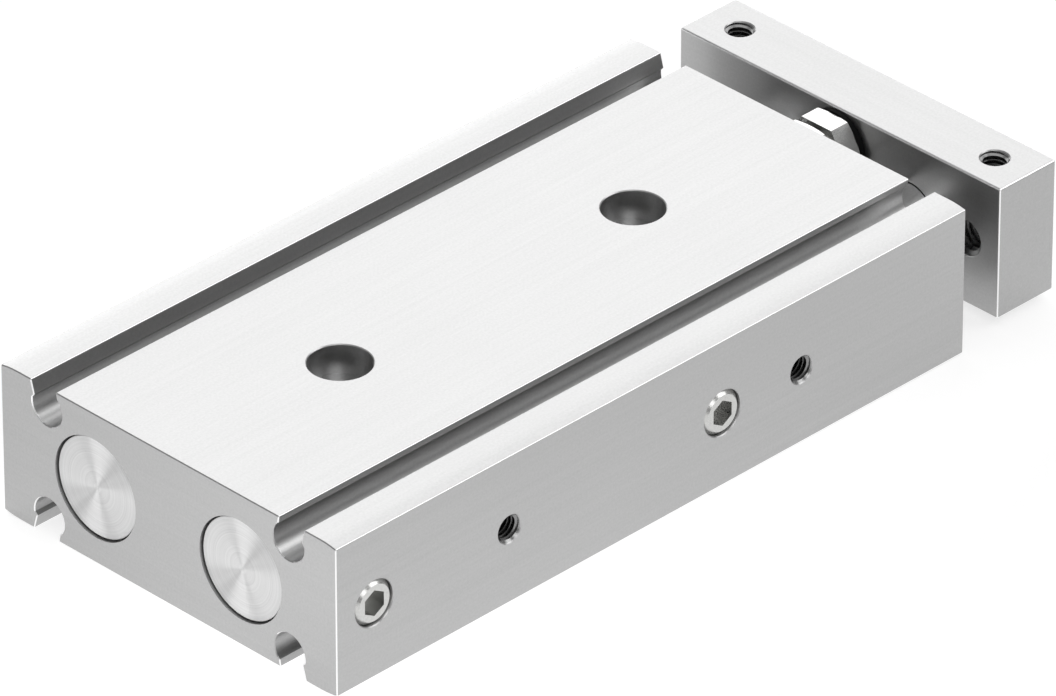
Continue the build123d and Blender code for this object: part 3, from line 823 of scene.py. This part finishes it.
class CYLINDER_OT_pistons(bpy.types.Operator):
    """Finish the piston rods, the piston halves and their nuts"""

    bl_idname = "cylinder.pistons"
    bl_label = "Pistons and rods"

    def execute(self, context):
        finish = context.scene.cylinder.finish
        chrome = drawn_metal(
            "Ground chrome", finish.chrome_colour, roughness=(0.08, 0.16), grain_on_sides=(0.05 * MM, 4 * MM, 4 * MM),
            grain_on_ends=(0.05 * MM, 2 * MM, 2 * MM), depth=0.0006 * MM,
        )
        paint(chrome, "piston_rod_left", "piston_rod_right")
        for side in ("left", "right"):
            piston = turned_metal(
                f"Turned piston {side}", finish.turned_colour, roughness=(0.25, 0.4),
                centre=centre_of(f"piston_front_{side}"), axis=(1, 0, 0), feed=finish.ring_width,
                depth=finish.ring_depth,
            )
            paint(piston, f"piston_front_{side}", f"piston_rear_{side}")
        fine = finish.grain_width
        steel = drawn_metal(
            "Plated nut", finish.steel_colour, roughness=(0.22, 0.35), grain_on_sides=(4 * MM, fine, fine),
            grain_on_ends=(fine, 2 * MM, 2 * MM), depth=FINE_RELIEF,
        )
        paint(steel, "piston_nuts")
        return {"FINISHED"}


class CYLINDER_OT_yoke_plate(bpy.types.Operator):
    """Finish the yoke plate and its screws, and cut the plate's threads"""

    bl_idname = "cylinder.yoke_plate"
    bl_label = "Yoke plate"

    def execute(self, context):
        finish, thread = context.scene.cylinder.finish, context.scene.cylinder.thread
        long, fine = finish.grain_length, finish.grain_width
        material = drawn_metal(
            "Drawn plate", finish.plate_colour, roughness=(0.3, 0.42), grain_on_sides=(fine, long, fine),
            grain_on_ends=(fine, long, fine), depth=finish.grain_depth, highlight_edges_of="yoke_plate",
            width=(0.3 * MM, 1, 0.3 * MM), core=21 * MM,
        )
        paint(material, "yoke_plate")
        low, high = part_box("yoke_plate")
        for label, pitch, length, tone in (
            ("front", thread.m4_pitch, high.x - low.x - MOUTH_CHAMFERS, THROUGH_THREAD_TONE),
            ("top", thread.m3_pitch, thread.plate_length, BLIND_THREAD_TONE),
            ("bottom", thread.m3_pitch, thread.plate_length, BLIND_THREAD_TONE),
        ):
            mount = mounts[f"plate_{label}_threads"]
            mouth, inward = Vector(mount["pos_m"]), -Vector(mount["axis"])
            cut = cut_thread(f"Cut plate thread {label}", finish, mouth, inward, tone)
            spacing = mount["dims"].get("spacing_y_mm") or mount["dims"]["spacing_x_mm"]
            for side, y in (("left", 0.5), ("right", -0.5)):
                start = mouth + Vector((0, y * spacing * MM, 0))
                piece = thread_sleeve(
                    f"plate_{label}_thread_{side}", start, inward, mount["dims"]["hole_r_mm"] * MM,
                    pitch, length, thread.steps, both_ends=label == "front",
                )
                piece.data.materials.append(cut)
                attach(piece, SLIDE)
        screws = drawn_metal(
            "Plated screws", finish.steel_colour, roughness=(0.22, 0.35), grain_on_sides=(fine, 2 * MM, 2 * MM),
            grain_on_ends=(fine, 2 * MM, 2 * MM), depth=FINE_RELIEF,
        )
        paint(screws, "plate_screws")
        return {"FINISHED"}


class CYLINDER_OT_stop(bpy.types.Operator):
    """Finish the stop bolt, its lock nut and the washer"""

    bl_idname = "cylinder.stop"
    bl_label = "Adjustable stop"

    def execute(self, context):
        finish = context.scene.cylinder.finish
        fine = finish.grain_width
        steel = drawn_metal(
            "Plated hexagon", finish.steel_colour, roughness=(0.2, 0.32), grain_on_sides=(3 * MM, fine, fine),
            grain_on_ends=(fine, 2 * MM, 2 * MM), depth=0.003 * MM,
        )
        paint(steel, "stop_bolt", "lock_nut")
        # Near-black and barely reflective: the washer's own colour, and a painted shade for the gap between nut and
        # plate
        washer = plain_compound("Black washer with painted gap shade", (0.006, 0.006, 0.006), roughness=(0.8, 0.95), grain=0.1 * MM)
        washer.node_tree.nodes["Principled BSDF"].inputs["Specular IOR Level"].default_value = 0.1
        paint(washer, "lock_washer")
        return {"FINISHED"}


class CYLINDER_OT_port_plugs(bpy.types.Operator):
    """Finish the screw plugs in the near air ports"""

    bl_idname = "cylinder.port_plugs"
    bl_label = "Port plugs"

    def execute(self, context):
        finish = context.scene.cylinder.finish
        fine = finish.grain_width
        plug = drawn_metal(
            "Plated plug", finish.plug_colour, roughness=(0.24, 0.3), grain_on_sides=(fine, fine, fine),
            grain_on_ends=(fine, fine, fine), depth=FINE_RELIEF,
        )
        paint(plug, "port_plugs")
        return {"FINISHED"}


class CYLINDER_PT_sidebar(bpy.types.Panel):
    """Settings and steps of the cylinder, in the 3D view's sidebar."""

    bl_idname = "CYLINDER_PT_sidebar"
    bl_label = "Double piston cylinder"
    bl_space_type = "VIEW_3D"
    bl_region_type = "UI"
    bl_category = "Cylinder"

    def draw(self, context):
        settings = context.scene.cylinder
        for title, group in (("Finish", settings.finish), ("Threads", settings.thread), ("Stage", settings.stage)):
            box = self.layout.box()
            box.label(text=title)
            for name in group.bl_rna.properties.keys():
                if name not in ("rna_type", "name"):
                    box.prop(group, name)
        for step in steps:
            self.layout.operator(step.bl_idname)


steps = (
    CYLINDER_OT_stage,
    CYLINDER_OT_effects,
    CYLINDER_OT_housing,
    CYLINDER_OT_rear_caps,
    CYLINDER_OT_guides,
    CYLINDER_OT_seals,
    CYLINDER_OT_pistons,
    CYLINDER_OT_yoke_plate,
    CYLINDER_OT_stop,
    CYLINDER_OT_port_plugs,
)
classes = (FinishSettings, ThreadSettings, StageSettings, CylinderSettings, *steps, CYLINDER_PT_sidebar)


def register():
    for each in classes:
        bpy.utils.register_class(each)
    bpy.types.Scene.cylinder = PointerProperty(type=CylinderSettings)


def unregister():
    del bpy.types.Scene.cylinder
    for each in reversed(classes):
        bpy.utils.unregister_class(each)


def main():
    register()
    bpy.ops.cylinder.stage()
    bpy.ops.cylinder.effects()
    bpy.ops.cylinder.housing()
    bpy.ops.cylinder.rear_caps()
    bpy.ops.cylinder.guides()
    bpy.ops.cylinder.seals()
    bpy.ops.cylinder.pistons()
    bpy.ops.cylinder.yoke_plate()
    bpy.ops.cylinder.stop()
    bpy.ops.cylinder.port_plugs()


if __name__ == "__main__":
    main()
